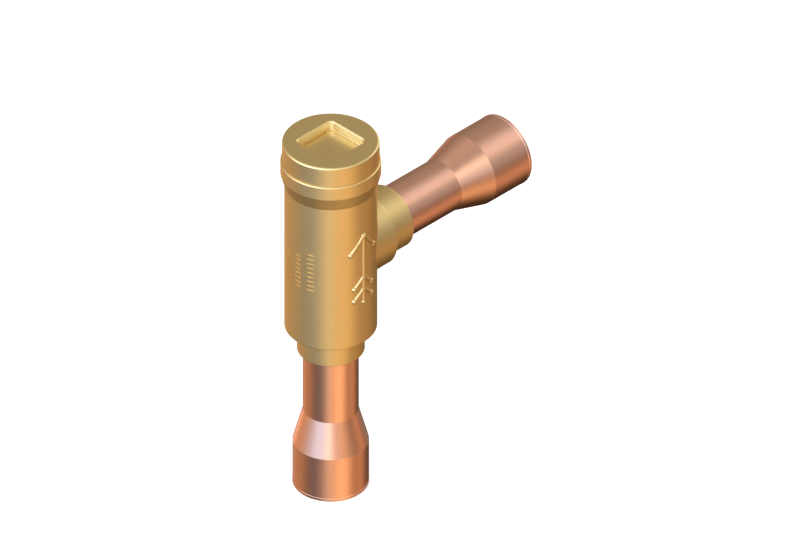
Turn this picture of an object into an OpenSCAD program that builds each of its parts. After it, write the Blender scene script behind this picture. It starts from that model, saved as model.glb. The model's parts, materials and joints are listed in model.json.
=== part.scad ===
// Angle non-return valve for refrigerant lines: a forged brass body with a spring-loaded
// damping piston, a screw cap with a square drive, and two copper ends brazed in.
// The origin is the centre of the inlet mouth. +Z runs up the inlet and +X runs out of the outlet.

/* [Copper ends] */
// Outer diameter of the pipe that slides into each end
pipe_d = 28; // [26:0.5:30]
// Gap round a pipe or a stub for the brazing alloy
braze_gap = 0.05; // [0.03:0.01:0.1]
// Depth of the cup that takes the pipe
cup_depth = 20; // [14:0.5:26]
// Wall of the cup, thinned by its expansion
cup_wall = 0.95; // [0.8:0.05:1.4]
// Length of the taper between the cup and the stub
taper_length = 14.9; // [10:0.1:20]
// Outer diameter of the stub
stub_d = 22; // [20:0.5:23]
// Wall of the stub
stub_wall = 1.2; // [0.8:0.1:1.6]
// Straight length of the stub between the taper and the brass hub
stub_length = 28.7; // [16:0.1:40]
// Depth of the stub inside the brass hub
stub_insert = 10; // [7:0.5:10.5]
// Height of the low bead that the expansion leaves round the cup's mouth
bead_h = 1.3; // [1:0.1:3]
// How far the bead stands out of the cup
bead_raise = 0.1; // [0.08:0.02:0.3]
// Rounding of the cup's outer edge
cup_round = 0.4; // [0.2:0.1:0.7]

/* [Body] */
// Diameter of the barrel
barrel_d = 36.5; // [35.5:0.5:38]
// From the outlet's axis down to the end of the barrel
barrel_below = 35.5; // [33:0.5:40]
// From the outlet's axis up to the taper under the collar
barrel_above = 31.7; // [31:0.1:38]
// Height of the taper under the collar
collar_taper = 5.8; // [4:0.1:8]
// Diameter of the collar round the cap's thread
collar_d = 39.6; // [39:0.2:42]
// Height of the collar
collar_h = 5.9; // [5:0.1:8]
// Rounding of the collar's upper edge
collar_round = 0.65; // [0.3:0.05:0.8]
// Diameter of both hubs that hold the stubs
hub_d = 26.7; // [26:0.1:29]
// Height of the hub under the barrel
inlet_hub = 11.3; // [11:0.1:15]
// Diameter of the boss where the outlet leaves the barrel
boss_d = 31.6; // [30:0.2:33]
// From the barrel's axis to the end of the boss
boss_reach = 21.4; // [20.5:0.1:25]
// Length of the hub beyond the boss
outlet_hub = 11.5; // [11:0.1:15]
// Radius of the fillet along the saddle between barrel and boss
saddle_round = 1.2; // [0.8:0.1:1.6]
// Rounding of the outer edges of the forging
edge_round = 0.35; // [0.2:0.05:0.5]
// Bore of the chamber
chamber_d = 30; // [29:0.5:31]
// From the outlet's axis down to the valve seat
seat_drop = 24.4; // [22:0.1:27]
// Height of the seat above the chamber floor
seat_h = 4; // [3:0.5:5]
// Width of the seat's flat lip
seat_lip = 1.1; // [0.8:0.1:1.5]
// Rounding between the chamber's wall and floor
floor_round = 1.5; // [0.8:0.1:2]

/* [Raised marks] */
// Length of the flow arrow
arrow_length = 34; // [28:1:38]
// Width of the arrow's head
arrow_head = 12; // [8:0.5:14]
// Width of the arrow's fletching
arrow_tail = 9; // [6:0.5:11]
// Fall of the head's strokes for each millimetre outwards
head_fall = 1.2; // [1:0.1:1.6]
// Fall of the fletching's strokes for each millimetre outwards
tail_fall = 1; // [0.8:0.1:1.3]
// Heights of both pairs of fletching, as shares of the arrow
tail_places = [0.2, 0.38]; // [0.15:0.01:0.45]
// Width of the arrow's round strokes
arrow_stroke = 2; // [1.6:0.1:2.6]
// Width of the balls that end the strokes
arrow_ball = 2.5; // [2.2:0.1:3]
// Height of the arrow's strokes above the barrel
arrow_raise = 0.7; // [0.4:0.05:0.9]
// Length of one tally bar
tally_length = 2.6; // [2:0.2:4]
// Height of one tally bar
tally_h = 0.8; // [0.6:0.1:1.2]
// Spacing of the tally bars
tally_pitch = 2.1; // [1.8:0.1:2.4]
// Spacing of the columns of bars
tally_gap = 6; // [5:0.2:7]
// Height of the bars above the barrel
tally_raise = 0.25; // [0.2:0.05:0.5]

/* [Screw cap] */
// Diameter of the cap's head
cap_d = 38.3; // [37.5:0.1:38.7]
// Height of the head above the collar
cap_h = 8.8; // [8:0.1:12]
// Rounding of the head's upper edge
cap_round = 0.95; // [0.5:0.05:2]
// Width across the flats of the square drive
drive_w = 19.2; // [17:0.2:21]
// Depth of the square drive
drive_depth = 3.7; // [3:0.1:6]
// Rounding of the drive's corners
drive_round = 1.7; // [1:0.1:2.2]
// Fillet round the drive's floor
drive_fillet = 0.7; // [0.4:0.1:0.9]
// Chamfer of the drive's mouth
drive_chamfer = 0.6; // [0.2:0.1:0.8]
// Diameter of the cap's thread
thread_d = 33; // [32.5:0.25:33.5]
// Depth of the thread
thread_depth = 0.8; // [0.6:0.1:0.9]
// Length of the thread under the head
thread_length = 10.8; // [9:0.1:11.5]
// Length of the plain nose below the thread
nose_length = 1.5; // [1:0.1:2.5]
// Width of the relief groove above the thread
relief_w = 1.6; // [1:0.1:2.5]
// Width of the sealing ring under the head
gasket_w = 1.3; // [1:0.1:1.5]
// Thickness of the sealing ring
gasket_h = 1; // [0.8:0.1:1.5]
// Depth of the spring pocket in the nose
pocket_depth = 7.5; // [5:0.5:9]

/* [Piston guide] */
// Height of the guide's clamped flange
flange_h = 2; // [1.5:0.1:3]
// Length of the guide below the flange
guide_length = 17.5; // [15:0.5:17.5]
// Chamfer at the guide's lower edge
guide_chamfer = 1; // [0.5:0.1:1.5]

/* [Piston] */
// Diameter of the damping piston
piston_d = 22; // [21:0.5:23]
// Radial running gap of the piston in its guide
run_gap = 0.05; // [0.03:0.01:0.08]
// How far the piston lifts off the seat
lift = 8; // [5:0.5:9]
// Height of the piston's cup
cup_h = 16; // [14:0.5:18]
// Wall of the piston's cup
piston_wall = 2.8; // [2.5:0.1:3.2]
// Floor of the piston's cup
piston_floor = 2; // [1.5:0.1:3]
// Diameter of the neck between cup and disc
neck_d = 11; // [9:0.5:12]
// Height of the flare from the neck to the cup
flare_h = 4; // [3:0.5:5]
// Thickness of the disc above the plate
disc_h = 3; // [2:0.5:4]
// Rim of the disc round the plate
disc_rim = 1; // [0.8:0.1:1.4]
// Diameter of the damping hole
orifice_d = 1.6; // [1:0.2:2]
// Height of the piston ring
ring_h = 2; // [1.5:0.1:2.5]
// Radial width of the piston ring
ring_w = 1.5; // [1.2:0.1:1.8]
// Slit in the piston ring
ring_slit = 0.8; // [0.4:0.1:1.2]
// From the piston's top edge down to its ring
ring_drop = 3.5; // [3:0.5:6]

/* [Valve plate] */
// Thickness of the sealing plate
plate_h = 2; // [1.6:0.1:3]
// How far the plate stands out of its rim
plate_proud = 1; // [0.6:0.1:1.4]
// How far the plate reaches past the seat's lip
plate_overlap = 0.7; // [0.4:0.1:0.9]
// Diameter of the washer under the plate
washer_d = 15; // [12:0.5:16]
// Thickness of the washer
washer_h = 1.2; // [0.8:0.1:2]
// Diameter of the screw that holds the plate
screw_d = 5; // [4:0.5:5.5]
// Length of the screw inside the piston
screw_grip = 7; // [5:0.5:9]
// Diameter of the screw's head
screw_head_d = 8.4; // [8:0.2:9]
// Height of the screw's head
screw_head_h = 3; // [2.4:0.1:4]
// Thickness of the lock washer
lock_h = 1.1; // [0.8:0.1:1.5]

/* [Spring] */
// Outer diameter of the spring
spring_d = 14; // [12:0.5:14]
// Diameter of its wire
wire_d = 1.1; // [0.8:0.1:1.3]
// Turns between the two closed ends
spring_turns = 6; // [4:1:7]

/* [Hidden] */
$fn = 96;

brass = [0.80, 0.62, 0.36];
copper = [0.86, 0.55, 0.42];
steel = [0.72, 0.72, 0.73];
aluminium = [0.80, 0.81, 0.82];
ptfe = [0.93, 0.93, 0.90];
silver_alloy = [0.78, 0.76, 0.70];

// Small radial gaps of parts that slip or screw into each other
slip_gap = 0.05;
thread_gap = 0.05;
// How far a cutting shape runs past the face that it opens
past = 1;

// Radii that meet
cup_r = pipe_d / 2 + braze_gap;
bead_r = cup_r + cup_wall + bead_raise;
stub_r = stub_d / 2;
port_r = stub_r - stub_wall;
socket_r = stub_r + braze_gap;
barrel_r = barrel_d / 2;
collar_r = collar_d / 2;
hub_r = hub_d / 2;
boss_r = boss_d / 2;
chamber_r = chamber_d / 2;
thread_r = thread_d / 2;
nose_r = thread_r - thread_depth;
gasket_r = thread_r + 2 * slip_gap;
lip_r = port_r + seat_lip;
plate_r = lip_r + plate_overlap;
disc_r = plate_r + slip_gap + disc_rim;
piston_r = piston_d / 2;
piston_bore_r = piston_r - piston_wall;

// Heights above the inlet's mouth
stub_z = cup_depth + taper_length;
hub_z = stub_z + stub_length;
barrel_z = hub_z + inlet_hub;
axis_z = barrel_z + barrel_below;
taper_z = axis_z + barrel_above;
collar_z = taper_z + collar_taper;
rim_z = collar_z + collar_h;
cap_z = rim_z + cap_h;
thread_z = rim_z - thread_length;
nose_z = thread_z - nose_length;
shoulder_z = nose_z - flange_h;
guide_z = shoulder_z - guide_length;
pocket_z = nose_z + pocket_depth;
seat_z = axis_z - seat_drop;
floor_z = seat_z - seat_h;
plate_z = seat_z + plate_h;
disc_z = plate_z + disc_h;
piston_z = nose_z - lift;
cup_base_z = piston_z - cup_h;
cup_floor_z = cup_base_z + piston_floor;
ring_z = piston_z - ring_drop - ring_h;
washer_z = seat_z - washer_h;
lock_z = washer_z - lock_h;
screw_z = lock_z - screw_head_h;

// Reaches along the outlet
hub_x = boss_reach + outlet_hub;
mouth_x = hub_x + stub_length + taper_length + cup_depth;

// Brazing ring: a groove of this section inside each hub
braze_depth = 0.7;
braze_w = 1.6;

// A disc or ring section of radius r between two heights, for turning
module turned(r, z0, z1) {
    translate([0, z0]) square([r, z1 - z0]);
}

// The sliver outside a rounded convex corner. The corner points along +X and +Y times its signs
module corner_sliver(corner, r, sx, sy) {
    translate(corner) scale([sx, sy]) translate([-r, -r]) difference() {
        square(r + past);
        circle(r);
        translate([r, -past]) square([past, past]);
    }
}

module along_outlet() {
    translate([0, 0, axis_z]) rotate([0, 90, 0]) children();
}

// Copper stub, from its mouth upwards
module stub_wall_section() {
    difference() {
        polygon([
            [cup_r, 0],
            [bead_r, 0],
            [bead_r, bead_h],
            [cup_r + cup_wall, bead_h + bead_raise],
            [cup_r + cup_wall, cup_depth],
            [stub_r, stub_z],
            [stub_r, hub_z + stub_insert],
            [port_r, hub_z + stub_insert],
            [port_r, stub_z],
            [cup_r, cup_depth]
        ]);
        corner_sliver([bead_r, 0], cup_round, 1, -1);
    }
}

module copper_stub() {
    color(copper) rotate_extrude() stub_wall_section();
}

// Silver alloy ring that fills the groove of a hub, with the hub's face at z = 0
module braze_ring() {
    color(silver_alloy) translate([0, 0, stub_insert / 2]) difference() {
        cylinder(r = socket_r + braze_depth, h = braze_w);
        translate([0, 0, -past]) cylinder(r = stub_r, h = braze_w + 2 * past);
    }
}

// Socket for a stub with its brazing groove, and the port beyond it, with the hub's face at z = 0
module stub_socket(port_end) {
    translate([0, 0, -past]) cylinder(r = socket_r, h = stub_insert + past);
    translate([0, 0, stub_insert / 2]) cylinder(r = socket_r + braze_depth, h = braze_w);
    cylinder(r = port_r, h = port_end);
}

// Outside of the forging where it is turned about the inlet's axis
module barrel_outline() {
    difference() {
        polygon([
            [0, hub_z],
            [hub_r, hub_z],
            [hub_r, barrel_z],
            [barrel_r, barrel_z],
            [barrel_r, taper_z],
            [collar_r, collar_z],
            [collar_r, rim_z],
            [0, rim_z]
        ]);
        corner_sliver([hub_r, hub_z], edge_round, 1, -1);
        corner_sliver([barrel_r, barrel_z], edge_round, 1, -1);
        corner_sliver([collar_r, rim_z], collar_round, 1, 1);
    }
}

module boss_outline() {
    difference() {
        polygon([
            [0, 0],
            [boss_r, 0],
            [boss_r, boss_reach],
            [hub_r, boss_reach],
            [hub_r, hub_x],
            [0, hub_x]
        ]);
        corner_sliver([boss_r, boss_reach], edge_round, 1, 1);
        corner_sliver([hub_r, hub_x], edge_round, 1, 1);
    }
}

// Inside of the body: chamber round the raised seat, guide bore, thread and gasket step
module chamber_section() {
    difference() {
        union() {
            turned(chamber_r, floor_z, shoulder_z + past);
            turned(nose_r, shoulder_z, rim_z);
            turned(thread_r, thread_z, rim_z);
            turned(gasket_r + gasket_w + slip_gap, rim_z - gasket_h, rim_z + past);
        }
        polygon([
            [0, floor_z - past],
            [lip_r + seat_h / 3, floor_z - past],
            [lip_r + seat_h / 3, floor_z],
            [lip_r, seat_z],
            [0, seat_z]
        ]);
        corner_sliver([chamber_r, floor_z], floor_round, 1, -1);
    }
}

// Point where a barrel of radius rb meets a boss of radius rc, at angle a round the boss
function saddle_point(rb, rc, a) = [sqrt(rb * rb - pow(rc * sin(a), 2)), rc * sin(a), rc * cos(a)];

function unit(v) = v / norm(v);

// Fillet section at angle a: an arc round the centre of a ball that rolls along both surfaces, sunk a
// little so that it crosses them, and a root point inside the metal
saddle_steps = 72;
saddle_arcs = 5;
saddle_sink = 0.04;
saddle_root = 1;
function saddle_section(a) =
    let (
        c = saddle_point(barrel_r + saddle_round - saddle_sink, boss_r + saddle_round - saddle_sink, a),
        to_barrel = unit([-c.x, -c.y, 0]),
        to_boss = unit([0, -c.y, -c.z]),
        spread = acos(to_barrel * to_boss)
    )
    concat(
        [for (i = [0:saddle_arcs])
            let (w = i / saddle_arcs * spread)
            c + saddle_round * (sin(spread - w) * to_barrel + sin(w) * to_boss) / sin(spread)],
        [saddle_point(barrel_r - saddle_root, boss_r - saddle_root, a)]
    );

module saddle_fillet() {
    points = [for (k = [0:saddle_steps - 1]) each saddle_section(360 * k / saddle_steps)];
    n = saddle_arcs + 2;
    count = len(points);
    translate([0, 0, axis_z]) polyhedron(
        points,
        [for (k = [0:saddle_steps - 1]) for (i = [0:n - 1])
            let (a = k * n + i, b = k * n + (i + 1) % n)
            each [
                [a, (a + n) % count, (b + n) % count],
                [a, (b + n) % count, b]
            ]]
    );
}

// Point on the arrow's middle surface, u round the barrel's side and v up from the outlet's axis
function arrow_point(u, v) = let (r = barrel_r + arrow_raise - arrow_stroke / 2) [u, -sqrt(r * r - u * u), v];

// Round stroke between two such points
module stroke(from, to) {
    along = to - from;
    translate(from) rotate([0, acos(along.z / norm(along)), atan2(along.y, along.x)])
        cylinder(d = arrow_stroke, h = norm(along));
}

// Upright arrow of round strokes that end in balls, with two pairs of fletching
module flow_arrow() {
    half = (arrow_length - arrow_ball) / 2;
    tip = arrow_point(0, half);
    foot = arrow_point(0, -half);
    stroke(foot, tip);
    for (end = [foot, tip]) translate(end) sphere(d = arrow_ball);
    barbs = [
        [half, arrow_head / 2, head_fall],
        for (place = tail_places) [(place * 2 - 1) * half, arrow_tail / 2, tail_fall]
    ];
    for (barb = barbs, side = [-1, 1]) {
        end = arrow_point(side * barb[1], barb[0] - barb[1] * barb[2]);
        stroke(end, arrow_point(0, barb[0]));
        translate(end) sphere(d = arrow_ball);
    }
}

// Columns of plain bars that all start at the same height
tally_counts = [9, 8, 7];
module tally_outline() {
    rows = tally_counts[0];
    for (column = [0:len(tally_counts) - 1]) for (i = [0:tally_counts[column] - 1])
        translate([(1 - column) * tally_gap, (i - (rows - 1) / 2) * tally_pitch])
            square([tally_length, tally_h], center = true);
}

// The bars stand out of the barrel on the side that faces -X
module raised_bars() {
    intersection() {
        translate([0, 0, barrel_z]) cylinder(r = barrel_r + tally_raise, h = taper_z - barrel_z);
        translate([0, 0, axis_z]) rotate([90, 0, -90])
            translate([0, 0, chamber_r + past]) linear_extrude(barrel_r) tally_outline();
    }
}

module valve_body() {
    color(brass) difference() {
        union() {
            rotate_extrude() barrel_outline();
            along_outlet() rotate_extrude() boss_outline();
            saddle_fillet();
            translate([0, 0, axis_z]) flow_arrow();
            raised_bars();
        }
        rotate_extrude() chamber_section();
        translate([0, 0, hub_z]) stub_socket(seat_z + past - hub_z);
        translate([hub_x, 0, axis_z]) rotate([0, -90, 0]) stub_socket(hub_x);
    }
}

// Square of half width w whose corners are rounded about fixed centres
module drive_outline(w) {
    c = drive_w / 2 - drive_round;
    square([2 * w, 2 * c], center = true);
    square([2 * c, 2 * w], center = true);
    for (x = [-c, c]) for (y = [-c, c]) translate([x, y]) circle(w - c);
}

// Cutter of the square drive, with its mouth at z = 0 and its floor below
module drive_cutter() {
    w = drive_w / 2;
    c = w - drive_round;
    k = drive_chamfer;
    bottom = drive_fillet - drive_depth;
    translate([0, 0, bottom]) linear_extrude(past - bottom) drive_outline(w);
    translate([0, 0, -drive_depth]) linear_extrude(drive_depth) drive_outline(w - drive_fillet);
    // Rounded edge of the floor: rods along the sides and ring pieces in the corners
    for (turn = [0, 90], s = [-1, 1]) rotate([90, 0, turn]) translate([s * (w - drive_fillet), bottom, 0])
        cylinder(r = drive_fillet, h = 2 * c, center = true);
    for (x = [-c, c]) for (y = [-c, c]) translate([x, y, bottom]) rotate_extrude() intersection() {
        translate([drive_round - drive_fillet, 0]) circle(drive_fillet);
        translate([0, -drive_fillet]) square(drive_round);
    }
    // Chamfer of the mouth: prisms along the sides and cones in the corners
    for (turn = [0, 90]) rotate([90, 0, turn]) linear_extrude(2 * c, center = true)
        polygon([[-w, -k], [w, -k], [w + k + past, past], [-w - k - past, past]]);
    for (x = [-c, c]) for (y = [-c, c]) translate([x, y, -k])
        cylinder(r1 = drive_round, r2 = drive_round + k + past, h = k + past);
}

// Turned outside of the cap: head, relief groove, threaded shank and nose
module cap_outline() {
    difference() {
        union() {
            turned(cap_d / 2, rim_z, cap_z);
            turned(thread_r - thread_gap, thread_z, rim_z + past);
            turned(nose_r - slip_gap, nose_z, thread_z + past);
        }
        corner_sliver([cap_d / 2, cap_z], cap_round, 1, 1);
        translate([nose_r - slip_gap, rim_z - gasket_h - relief_w]) square([thread_r, relief_w]);
    }
}

module screw_cap() {
    color(brass) difference() {
        rotate_extrude() cap_outline();
        translate([0, 0, cap_z]) drive_cutter();
        translate([0, 0, nose_z - past]) cylinder(r = piston_bore_r + slip_gap, h = pocket_depth + past);
    }
}

module cap_gasket() {
    color(aluminium) translate([0, 0, rim_z - gasket_h]) difference() {
        cylinder(r = gasket_r + gasket_w, h = gasket_h);
        translate([0, 0, -past]) cylinder(r = gasket_r, h = gasket_h + 2 * past);
    }
}

module inlet_stub() {
    copper_stub();
}

module outlet_stub() {
    translate([mouth_x, 0, axis_z]) rotate([0, -90, 0]) copper_stub();
}

module inlet_braze_ring() {
    translate([0, 0, hub_z]) braze_ring();
}

module outlet_braze_ring() {
    translate([hub_x, 0, axis_z]) rotate([0, -90, 0]) braze_ring();
}

module piston_guide() {
    bore_r = piston_r + run_gap;
    outer_r = chamber_r - slip_gap;
    color(brass) rotate_extrude() polygon([
        [bore_r + guide_chamfer, guide_z],
        [outer_r - guide_chamfer, guide_z],
        [outer_r, guide_z + guide_chamfer],
        [outer_r, shoulder_z],
        [nose_r - slip_gap, shoulder_z],
        [nose_r - slip_gap, nose_z],
        [bore_r, nose_z],
        [bore_r, guide_z + guide_chamfer]
    ]);
}

// Section of the piston: disc round the plate, neck, flare and hollow cup
module piston_section() {
    difference() {
        union() {
            turned(disc_r, seat_z + plate_proud, disc_z);
            turned(neck_d / 2, disc_z - past, cup_base_z);
            polygon([
                [0, cup_base_z - flare_h],
                [neck_d / 2, cup_base_z - flare_h],
                [piston_r - piston_wall, cup_base_z],
                [0, cup_base_z]
            ]);
            turned(piston_r, cup_base_z, piston_z);
        }
        turned(plate_r + slip_gap, seat_z, plate_z);
        turned(screw_d / 2 + slip_gap, seat_z, plate_z + screw_grip + past);
        turned(piston_bore_r, cup_floor_z, piston_z + past);
        corner_sliver([disc_r, disc_z], edge_round, 1, 1);
        translate([piston_r - ring_w - slip_gap, ring_z - slip_gap / 2])
            square([ring_w + past, ring_h + slip_gap]);
    }
}

module piston() {
    color(steel) difference() {
        rotate_extrude() piston_section();
        translate([piston_bore_r - orifice_d, 0, cup_base_z - flare_h])
            cylinder(d = orifice_d, h = flare_h + piston_floor + past);
    }
}

module piston_ring() {
    r = piston_r + run_gap / 2;
    color(ptfe) translate([0, 0, ring_z]) difference() {
        cylinder(r = r, h = ring_h);
        translate([0, 0, -past]) cylinder(r = piston_r - ring_w, h = ring_h + 2 * past);
        translate([0, -ring_slit / 2, -past]) cube([r + past, ring_slit, ring_h + 2 * past]);
    }
}

module valve_plate() {
    color(ptfe) translate([0, 0, seat_z]) difference() {
        cylinder(r = plate_r, h = plate_h);
        translate([0, 0, -past]) cylinder(r = screw_d / 2 + slip_gap, h = plate_h + 2 * past);
    }
}

module plate_washer() {
    color(steel) translate([0, 0, washer_z]) difference() {
        cylinder(r = washer_d / 2, h = washer_h);
        translate([0, 0, -past]) cylinder(r = screw_d / 2 + slip_gap, h = washer_h + 2 * past);
    }
}

// Split lock washer, nearly as wide as the screw's head
module lock_washer() {
    r = screw_head_d / 2 - slip_gap;
    color(steel) translate([0, 0, lock_z]) difference() {
        cylinder(r = r, h = lock_h);
        translate([0, 0, -past]) cylinder(r = screw_d / 2 + slip_gap, h = lock_h + 2 * past);
        translate([0, -ring_slit / 2, -past]) cube([r + past, ring_slit, lock_h + 2 * past]);
    }
}

// Slotted pan-head screw, driven in from the inlet side
module plate_screw() {
    slot_w = screw_d / 4;
    color(steel) difference() {
        union() {
            rotate_extrude() difference() {
                turned(screw_head_d / 2, screw_z, lock_z);
                corner_sliver([screw_head_d / 2, screw_z], screw_head_h / 3, 1, -1);
            }
            translate([0, 0, lock_z - past])
                cylinder(d = screw_d, h = plate_z + screw_grip - lock_z + past);
        }
        translate([-screw_head_d, -slot_w / 2, screw_z - past])
            cube([2 * screw_head_d, slot_w, screw_head_h / 2 + past]);
    }
}

// Height of the wire's centre after t turns: a closed turn at each end and an even rise between
function wire_rise(t, rise) =
    t < 1 ? t * wire_d :
    t < 1 + spring_turns ? wire_d + (t - 1) / spring_turns * rise :
    wire_d + rise + (t - 1 - spring_turns) * wire_d;

// Compression spring between two heights, with ends ground flat
module coil_spring(z0, z1) {
    sides = 8;
    steps = 18;
    wire_r = wire_d / 2;
    coil_r = spring_d / 2 - wire_r;
    rise = z1 - z0 - 2 * wire_d - wire_r;
    total = (spring_turns + 2) * steps;
    points = [for (k = [0:total]) let (a = 360 * k / steps, z = z0 + wire_r / 2 + wire_rise(k / steps, rise))
        for (i = [0:sides - 1]) let (b = 360 * i / sides, r = coil_r + wire_r * cos(b))
        [r * cos(a), r * sin(a), max(z0, min(z1, z + wire_r * sin(b)))]];
    polyhedron(points, concat(
        [[for (i = [0:sides - 1]) i]],
        [for (k = [0:total - 1]) for (i = [0:sides - 1])
            let (a = k * sides + i, b = k * sides + (i + 1) % sides)
            each [[a, a + sides, b + sides], [a, b + sides, b]]],
        [[for (i = [0:sides - 1]) (total + 1) * sides - 1 - i]]
    ));
}

module return_spring() {
    color(steel) coil_spring(cup_floor_z, pocket_z);
}

valve_body();
screw_cap();
cap_gasket();
inlet_stub();
outlet_stub();
inlet_braze_ring();
outlet_braze_ring();
piston_guide();
piston();
piston_ring();
valve_plate();
plate_washer();
lock_washer();
plate_screw();
return_spring();
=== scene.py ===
import json
import math

import bpy
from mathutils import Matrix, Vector


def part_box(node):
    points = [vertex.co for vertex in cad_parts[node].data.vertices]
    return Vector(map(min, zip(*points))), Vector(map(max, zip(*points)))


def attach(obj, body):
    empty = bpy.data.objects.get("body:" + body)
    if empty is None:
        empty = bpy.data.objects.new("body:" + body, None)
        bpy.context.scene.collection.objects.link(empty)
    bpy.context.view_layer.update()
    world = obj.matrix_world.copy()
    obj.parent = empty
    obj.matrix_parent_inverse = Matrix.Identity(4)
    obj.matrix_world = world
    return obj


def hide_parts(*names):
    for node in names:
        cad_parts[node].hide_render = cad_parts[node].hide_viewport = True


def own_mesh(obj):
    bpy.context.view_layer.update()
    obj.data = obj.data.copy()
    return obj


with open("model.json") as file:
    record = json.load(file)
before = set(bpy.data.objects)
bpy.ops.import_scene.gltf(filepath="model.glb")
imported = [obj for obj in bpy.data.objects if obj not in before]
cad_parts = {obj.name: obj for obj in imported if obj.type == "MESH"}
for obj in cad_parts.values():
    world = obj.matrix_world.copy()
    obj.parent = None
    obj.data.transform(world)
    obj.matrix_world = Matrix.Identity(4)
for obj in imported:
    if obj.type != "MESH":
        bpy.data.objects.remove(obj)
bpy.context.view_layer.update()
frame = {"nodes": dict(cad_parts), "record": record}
cadNodes = frame["nodes"]
outletSocket = next(m for m in frame["record"]["mounts"] if m["name"] == "outlet_socket")
crossing = Vector((0, 0, outletSocket["pos_m"][2]))  # where the axes of the inlet and the outlet meet
print("frame loaded:", len(cadNodes), "nodes")


def compass(azimuth, elevation):  # unit vector, azimuth 0 points along -Y and 90 along +X
    a, e = math.radians(azimuth), math.radians(elevation)
    return Vector((math.sin(a) * math.cos(e), -math.cos(a) * math.cos(e), math.sin(e)))


# An isometric view without perspective, with the valve left of and above the picture's middle
camera = {
    "azimuth": -45,
    "elevation": 35.264,
    "pictureWidth": 0.3132,
    "middleRight": 0.0271,  # from the crossing of both axes to the picture's middle
    "middleDown": 0.0080,
    "distance": 1.0,
    "near": 0.01,
    "far": 20,
}


def addCamera(v):
    back = compass(v["azimuth"], v["elevation"])
    turn = back.to_track_quat("Z", "Y")
    middle = crossing + turn @ Vector((v["middleRight"], -v["middleDown"], 0))
    bpy.ops.object.camera_add(location=middle + back * v["distance"], rotation=turn.to_euler())
    cam = bpy.context.object
    cam.name = "photoCamera"
    cam.data.type = "ORTHO"
    cam.data.ortho_scale = v["pictureWidth"]
    cam.data.clip_start, cam.data.clip_end = v["near"], v["far"]
    bpy.context.scene.camera = cam


addCamera(camera)
bpy.context.scene.view_settings.view_transform = "Standard"
print("camera set")


class Wire:  # a shader socket that Python's operators work on
    def __init__(self, tree, socket=None):
        self.tree, self.socket = tree, socket

    def node(self, kind, inputs, settings=None, output=0):
        made = self.tree.nodes.new("ShaderNode" + kind)
        for name, value in (settings or {}).items():
            setattr(made, name, value)
        for name, value in inputs.items():
            if isinstance(value, Wire):
                self.tree.links.new(value.socket, made.inputs[name])
            else:
                made.inputs[name].default_value = value
        return Wire(self.tree, made.outputs[output])

    def maths(self, operation, a, b=0.0):
        return self.node("Math", {0: a, 1: b}, {"operation": operation})

    def __add__(self, other):
        return self.maths("ADD", self, other)

    def __sub__(self, other):
        return self.maths("SUBTRACT", self, other)

    def __rsub__(self, other):
        return self.maths("SUBTRACT", other, self)

    def __mul__(self, other):
        return self.maths("MULTIPLY", self, other)

    __radd__, __rmul__ = __add__, __mul__

    def vector(self, operation, a, b=(0, 0, 0), c=(0, 0, 0)):
        return self.node("VectorMath", {0: a, 1: b, 2: c}, {"operation": operation})

    def dot(self, a, b):
        return self.node("VectorMath", {0: a, 1: b}, {"operation": "DOT_PRODUCT"}, output="Value")

    def mix(self, share, a, b):  # colour a where share is 0, colour b where it is 1, by the colour sockets
        return self.node("Mix", {0: share, 6: a, 7: b}, {"data_type": "RGBA"}, output=2)

    def noise(self, place, scale, detail=2.0, roughness=0.5):
        inputs = {"Vector": place, "Scale": scale, "Detail": detail, "Roughness": roughness}
        return self.node("TexNoise", inputs)

    def objectPlace(self):
        return self.node("TexCoord", {}, output="Object")


def bareMaterial(name):
    material = bpy.data.materials.new(name)
    material.use_nodes = True
    material.node_tree.nodes.clear()
    return material, material.node_tree


def linkOutput(tree, wire):
    output = tree.nodes.new("ShaderNodeOutputMaterial")
    tree.links.new(wire.socket, output.inputs["Surface"])


def shadedMaterial(name):
    material, tree = bareMaterial(name)
    shader = tree.nodes.new("ShaderNodeBsdfPrincipled")
    linkOutput(tree, Wire(tree, shader.outputs[0]))
    return material, tree, shader


def connect(tree, shader, links):
    for name, wire in links.items():
        tree.links.new(wire.socket, shader.inputs[name])


def tinted(colour, factor):
    return (*(c * factor for c in colour), 1)


def shades(wire, share, colour, spread):  # from a little darker to a little lighter than the colour
    return wire.mix(share, tinted(colour, 1 - spread), tinted(colour, 1 + spread))


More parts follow.
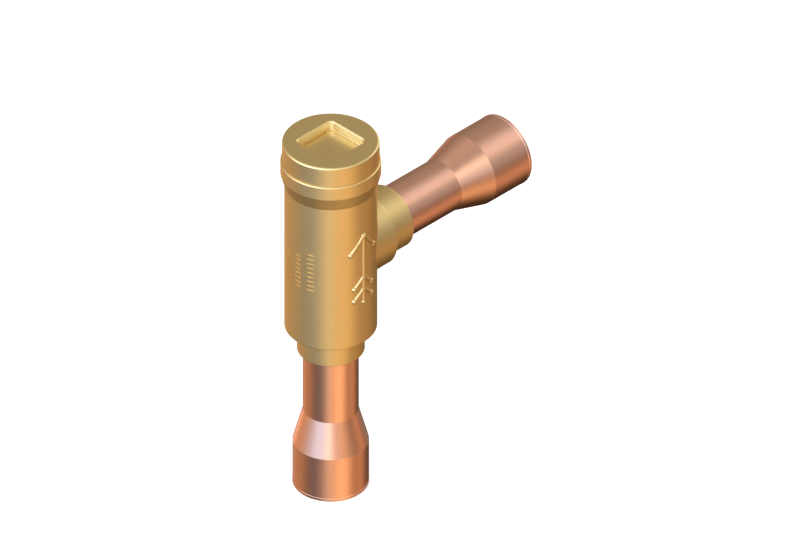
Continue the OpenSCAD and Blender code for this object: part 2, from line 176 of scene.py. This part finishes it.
# Brass and copper as linear colours, with how far cloudy tarnish and fine grain change them
metals = {
    "forgedBrass": {
        "colour": (0.74, 0.48, 0.19), "edge": (0.95, 0.83, 0.59), "roughness": 0.425,
        "cloud": 0.05, "cloudScale": 70, "grain": 0.02, "grainScale": 2600,
        "bump": 0.05, "bumpDepth": 0.00006, "streak": (1, 1, 1), "uneven": 0.06,
    },
    "turnedBrass": {
        "colour": (0.74, 0.48, 0.19), "edge": (0.95, 0.83, 0.59), "roughness": 0.415,
        "cloud": 0.04, "cloudScale": 90, "grain": 0.02, "grainScale": 900,
        "bump": 0.05, "bumpDepth": 0.00003, "streak": (1, 1, 12), "uneven": 0.06,
    },
    "uprightCopper": {
        "colour": (0.90, 0.44, 0.28), "edge": (1, 0.88, 0.8), "roughness": 0.265,
        "cloud": 0.04, "cloudScale": 60, "grain": 0.006, "grainScale": 400,
        "bump": 0.02, "bumpDepth": 0.00003, "streak": (1, 1, 0.03), "uneven": 0,
    },
    "levelCopper": {
        "colour": (0.90, 0.44, 0.28), "edge": (1, 0.88, 0.8), "roughness": 0.265,
        "cloud": 0.04, "cloudScale": 60, "grain": 0.006, "grainScale": 400,
        "bump": 0.02, "bumpDepth": 0.00003, "streak": (0.03, 1, 1), "uneven": 0,
    },
    "turnedSteel": {
        "colour": (0.60, 0.60, 0.61), "edge": (0.8, 0.8, 0.8), "roughness": 0.30,
        "cloud": 0.03, "cloudScale": 90, "grain": 0.03, "grainScale": 1200,
        "bump": 0.06, "bumpDepth": 0.00003, "streak": (1, 1, 12), "uneven": 0.06,
    },
    "springSteel": {
        "colour": (0.46, 0.46, 0.48), "edge": (0.8, 0.8, 0.8), "roughness": 0.26,
        "cloud": 0.04, "cloudScale": 200, "grain": 0.02, "grainScale": 1500,
        "bump": 0.03, "bumpDepth": 0.00002, "streak": (1, 1, 1), "uneven": 0.06,
    },
    "silverAlloy": {
        "colour": (0.72, 0.69, 0.60), "edge": (0.9, 0.9, 0.85), "roughness": 0.34,
        "cloud": 0.08, "cloudScale": 300, "grain": 0.03, "grainScale": 900,
        "bump": 0.2, "bumpDepth": 0.00008, "streak": (1, 1, 1), "uneven": 0.06,
    },
    "softAluminium": {
        "colour": (0.78, 0.79, 0.80), "edge": (0.9, 0.9, 0.9), "roughness": 0.36,
        "cloud": 0.03, "cloudScale": 120, "grain": 0.03, "grainScale": 1200,
        "bump": 0.05, "bumpDepth": 0.00003, "streak": (1, 1, 12), "uneven": 0.06,
    },
}

# What every metal's tarnish and grain share
weathering = {
    "cloudDetail": 3.0, "grainDetail": 2.0, "grainRoughness": 0.6,
    "contrast": 8, "tint": 0.12, "polish": 0.06,
}

# The square in the cap's face, whose walls are painted a lighter colour as a painted reflection, in place of
# the light that the recess's own shade takes away
paintedSquareLight = {"half": 0.0098, "low": 0.1597, "high": 0.162, "paintedReflection": (0.94, 0.84, 0.56), "tint": 0.03}


def onSquareWalls(wire, place, d):  # 1 on the walls of the square, 0 elsewhere
    spot = wire.vector("ABSOLUTE", place)
    x, y, z = (wire.node("SeparateXYZ", {"Vector": spot}, output=axis) for axis in "XYZ")
    within = wire.maths("LESS_THAN", x, d["half"]) * wire.maths("LESS_THAN", y, d["half"])
    return within * wire.maths("GREATER_THAN", z, d["low"]) * wire.maths("LESS_THAN", z, d["high"])


def metalMaterial(name):
    m, w = metals[name], weathering
    material, tree, shader = shadedMaterial(name)
    wire = Wire(tree)
    place = wire.objectPlace()
    drawn = wire.node("Mapping", {"Vector": place, "Scale": m["streak"]})
    cloud = wire.noise(place, m["cloudScale"], w["cloudDetail"])
    grain = wire.noise(drawn, m["grainScale"], w["grainDetail"], w["grainRoughness"])
    share = (cloud - 0.5) * (w["contrast"] * m["cloud"]) + (grain - 0.5) * (w["contrast"] * m["grain"]) + 0.5
    colour = shades(wire, share, m["colour"], w["tint"])
    if name == "turnedBrass":
        # The square's walls get a lighter colour: a painted reflection, not a finish of their own
        paintedReflection = shades(wire, share, paintedSquareLight["paintedReflection"], paintedSquareLight["tint"])
        colour = wire.mix(onSquareWalls(wire, place, paintedSquareLight), colour, paintedReflection)
    bump = wire.node("Bump", {"Strength": m["bump"], "Distance": m["bumpDepth"], "Height": grain})
    connect(tree, shader, {
        "Base Color": colour,
        "Roughness": m["roughness"] + (0.5 - cloud) * w["polish"] + (grain - 0.5) * m["uneven"],
        "Normal": bump,
    })
    shader.inputs["Metallic"].default_value = 1
    shader.inputs["Specular Tint"].default_value = (*m["edge"], 1)
    return material


# PTFE for the valve plate and the piston's ring, cloudy and turned
sealing = {
    "colour": (0.86, 0.86, 0.83), "shade": (0.78, 0.78, 0.74), "roughness": 0.42, "uneven": 0.1,
    "cloudScale": 160, "cloudDetail": 3.0, "turnedScale": 1400, "streak": (1, 1, 10),
    "bump": 0.08, "bumpDepth": 0.00004, "scatter": 0.12, "scatterReach": (0.001, 0.001, 0.0009),
}


def sealingMaterial(s):
    material, tree, shader = shadedMaterial("ptfe")
    wire = Wire(tree)
    place = wire.objectPlace()
    cloud = wire.noise(place, s["cloudScale"], s["cloudDetail"])
    turned = wire.noise(wire.node("Mapping", {"Vector": place, "Scale": s["streak"]}), s["turnedScale"])
    bump = wire.node("Bump", {"Strength": s["bump"], "Distance": s["bumpDepth"], "Height": turned})
    connect(tree, shader, {
        "Base Color": wire.mix(cloud, (*s["shade"], 1), (*s["colour"], 1)),
        "Roughness": s["roughness"] + (turned - 0.5) * s["uneven"],
        "Normal": bump,
    })
    shader.inputs["Subsurface Weight"].default_value = s["scatter"]
    shader.inputs["Subsurface Radius"].default_value = s["scatterReach"]
    return material


# Each node's finish and the name of its slot
finishes = {
    "valve_body": ("forgedBrass", "brass"),
    "screw_cap": ("turnedBrass", "brass"),
    "piston_guide": ("turnedBrass", "brass"),
    "inlet_stub": ("uprightCopper", "copper"),
    "outlet_stub": ("levelCopper", "copper"),
    "inlet_braze_ring": ("silverAlloy", "silver_alloy"),
    "outlet_braze_ring": ("silverAlloy", "silver_alloy"),
    "cap_gasket": ("softAluminium", "gasket"),
    "piston": ("turnedSteel", "steel"),
    "plate_washer": ("turnedSteel", "steel"),
    "lock_washer": ("turnedSteel", "steel"),
    "plate_screw": ("turnedSteel", "steel"),
    "piston_ring": ("ptfe", "ptfe"),
    "valve_plate": ("ptfe", "ptfe"),
}

materials = {name: metalMaterial(name) for name in metals}
materials["ptfe"] = sealingMaterial(sealing)


def paint(piece, finish):
    piece.data.materials.clear()
    piece.data.materials.append(materials[finish])


for nodeName, (finish, slotName) in finishes.items():
    paint(cadNodes[nodeName], finish)
print("metals and seals painted")


# The return spring, wound finer than its solid
spring = {
    "coil": 0.00645, "wire": 0.00055, "turns": 6, "wireSides": 20, "turnSteps": 40,
    "weld": 0.00001, "smoothAngle": 40, "stroke": 0.0079,  # the stroke is the piston's
}


def deselectAll():
    bpy.ops.object.select_all(action="DESELECT")


def windTurns(s, height, pitch, turns):  # a stretch of wire that starts above +X
    deselectAll()
    bpy.ops.mesh.primitive_circle_add(
        vertices=s["wireSides"], radius=s["wire"],
        location=(s["coil"], 0, height), rotation=(math.pi / 2, 0, 0),
    )
    piece = bpy.context.object
    bpy.ops.object.transform_apply(location=True, rotation=True, scale=True)
    screw = piece.modifiers.new("wind", "SCREW")
    screw.axis, screw.screw_offset, screw.iterations = "Z", pitch, turns
    screw.steps = screw.render_steps = s["turnSteps"]
    screw.use_merge_vertices = False
    bpy.ops.object.modifier_apply(modifier="wind")
    return piece


def cutFlat(height, up):  # grinds an end of the spring level and closes the cut
    bpy.ops.mesh.select_all(action="SELECT")
    bpy.ops.mesh.bisect(
        plane_co=(0, 0, height), plane_no=(0, 0, 1), use_fill=True, clear_inner=not up, clear_outer=up
    )


def windSpring(s):
    low, high = (corner.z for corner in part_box("return_spring"))
    wireThick = 2 * s["wire"]
    start = low + s["wire"] / 2
    rise = high - low - 2 * wireThick - s["wire"]
    stretches = [
        windTurns(s, start, wireThick, 1),
        windTurns(s, start + wireThick, rise / s["turns"], s["turns"]),
        windTurns(s, start + wireThick + rise, wireThick, 1),
    ]
    deselectAll()
    for piece in stretches:
        piece.select_set(True)
    bpy.context.view_layer.objects.active = stretches[0]
    bpy.ops.object.join()
    piece = bpy.context.object
    piece.name = "woundSpring"
    bpy.ops.object.mode_set(mode="EDIT")
    bpy.ops.mesh.select_all(action="SELECT")
    bpy.ops.mesh.remove_doubles(threshold=s["weld"])
    bpy.ops.mesh.select_all(action="DESELECT")
    bpy.ops.mesh.select_non_manifold()
    bpy.ops.mesh.fill()
    cutFlat(low, False)
    cutFlat(high, True)
    bpy.ops.mesh.select_all(action="SELECT")
    bpy.ops.mesh.normals_make_consistent(inside=False)
    bpy.ops.object.mode_set(mode="OBJECT")
    bpy.ops.object.shade_smooth_by_angle(angle=math.radians(s["smoothAngle"]))
    paint(piece, "springSteel")
    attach(piece, "housing")
    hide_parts("return_spring")
    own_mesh(piece)


windSpring(spring)
print("spring wound")


# A white floor, which takes a faint shadow, under a white sky
studio = {"floorSize": 6.0, "floorDrop": 0.00005, "floorGlow": 0.8, "floorColour": 0.36, "ambient": 0.55}


def seenDirectly(wire):  # 1 for rays from the camera, in a reflection or through glass
    kinds = ("Is Camera Ray", "Is Glossy Ray", "Is Transmission Ray")
    straight, mirrored, through = (wire.node("LightPath", {}, output=kind) for kind in kinds)
    return wire.maths("MINIMUM", straight + mirrored + through, 1.0)


def addFloor(s):
    deselectAll()
    bpy.ops.mesh.primitive_plane_add(size=s["floorSize"], location=(0, 0, -s["floorDrop"]))
    floor = bpy.context.object
    floor.name = "studioFloor"
    material, tree = bareMaterial("whiteFloor")
    wire = Wire(tree)
    grey = s["floorColour"]
    matte = wire.node("BsdfDiffuse", {"Color": (grey, grey, grey, 1)})
    glow = wire.node("Emission", {"Strength": seenDirectly(wire) * s["floorGlow"]})
    linkOutput(tree, wire.node("AddShader", {0: matte, 1: glow}))
    floor.data.materials.append(material)
    floor.visible_glossy = False


def setSky(s):
    world = bpy.data.worlds.new("whiteSky")
    bpy.context.scene.world = world
    world.use_nodes = True
    tree = world.node_tree
    wire = Wire(tree)
    direct = seenDirectly(wire)
    strength = direct + (1 - direct) * s["ambient"]
    background = tree.nodes["Background"]
    background.inputs["Color"].default_value = (1, 1, 1, 1)
    tree.links.new(strength.socket, background.inputs["Strength"])


# A tent round the valve that only its metal reflects. Each glow has its azimuth from the camera to its
# right, its elevation, its sharpness and its light
tent = {
    "radius": 2.5,
    "segments": 64,
    "rings": 32,
    "glows": {
        "warmBounce": (35, -33, 9, (1.43, 1.08, 0.65)),
        "lowStrip": (-5, -18, 45, (2.24, 2.26, 2.02)),
        "belowFront": (-24, -52, 45, (0.67, 0.49, 0.29)),
        "lowLeft": (-110, -20, 6.5, (0.54, 0.36, 0.18)),
        "lowRight": (100, -26, 16, (0.71, 0.47, 0.31)),
        "lowBackLeft": (-147, -20, 25, (1.13, 0.85, 0.78)),
        "leftBox": (-35, 22, 8, (2.06, 3.5, 6)),
        "leftStrip": (-52.5, 17, 45, (3.4, 4.2, 6)),
        "farLeftBox": (-78, 17, 25, (3.1, 4.16, 6)),
        "frontBox": (21.5, 33, 8.4, (1.67, 1.96, 2.3)),
        "rightSky": (74, 17, 17, (0.4, 0.48, 0.56)),
        "rightStrip": (73, 47, 45, (1.46, 1.52, 1.27)),
        "backRight": (124, 30, 21, (2.65, 3.15, 3.75)),
        "behindRight": (151, 3, 15, (1.7, 2, 2.1)),
        "softBack": (180, 22, 5, (0.085, 0.09, 0.09)),
        "overhead": (-94, 59, 2.5, (0.78, 0.83, 0.82)),
    },
    "everywhere": (0.02, 0.01, 0),
}


def addTent(t):
    deselectAll()
    bpy.ops.mesh.primitive_uv_sphere_add(
        segments=t["segments"], ring_count=t["rings"], radius=t["radius"], location=crossing
    )
    dome = bpy.context.object
    dome.name = "lightTent"
    material, tree = bareMaterial("tentGlow")
    wire = Wire(tree)
    outward = wire.vector("NORMALIZE", wire.objectPlace())
    colour = t["everywhere"]
    for azimuth, elevation, sharpness, glow in t["glows"].values():
        towards = compass(camera["azimuth"] + azimuth, elevation)
        facing = wire.dot(outward, towards)
        lobe = wire.maths("EXPONENT", (facing - 1) * sharpness)
        colour = wire.vector("MULTIPLY_ADD", lobe, glow, colour)
    linkOutput(tree, wire.node("Emission", {"Color": colour}))
    material.cycles.emission_sampling = "NONE"
    dome.data.materials.append(material)
    dome.visible_camera = dome.visible_diffuse = dome.visible_shadow = dome.visible_volume_scatter = False


# Soft lamps for the shadow and for what isn't metal
lamps = {
    "keyLamp": {"azimuth": -95, "elevation": 55, "distance": 1.6, "size": 1.2, "watts": 26},
    "fillLamp": {"azimuth": 20, "elevation": 50, "distance": 1.6, "size": 1.4, "watts": 14},
}


def addLamp(name, v):
    towards = compass(v["azimuth"], v["elevation"])
    turn = towards.to_track_quat("Z", "Y")
    bpy.ops.object.light_add(
        type="AREA", location=crossing + towards * v["distance"], rotation=turn.to_euler()
    )
    lamp = bpy.context.object
    lamp.name = name
    lamp.data.shape, lamp.data.size, lamp.data.energy = "DISK", v["size"], v["watts"]
    lamp.visible_glossy = False


addFloor(studio)
setSky(studio)
addTent(tent)
for lampName, lampValues in lamps.items():
    addLamp(lampName, lampValues)
print("studio lit")
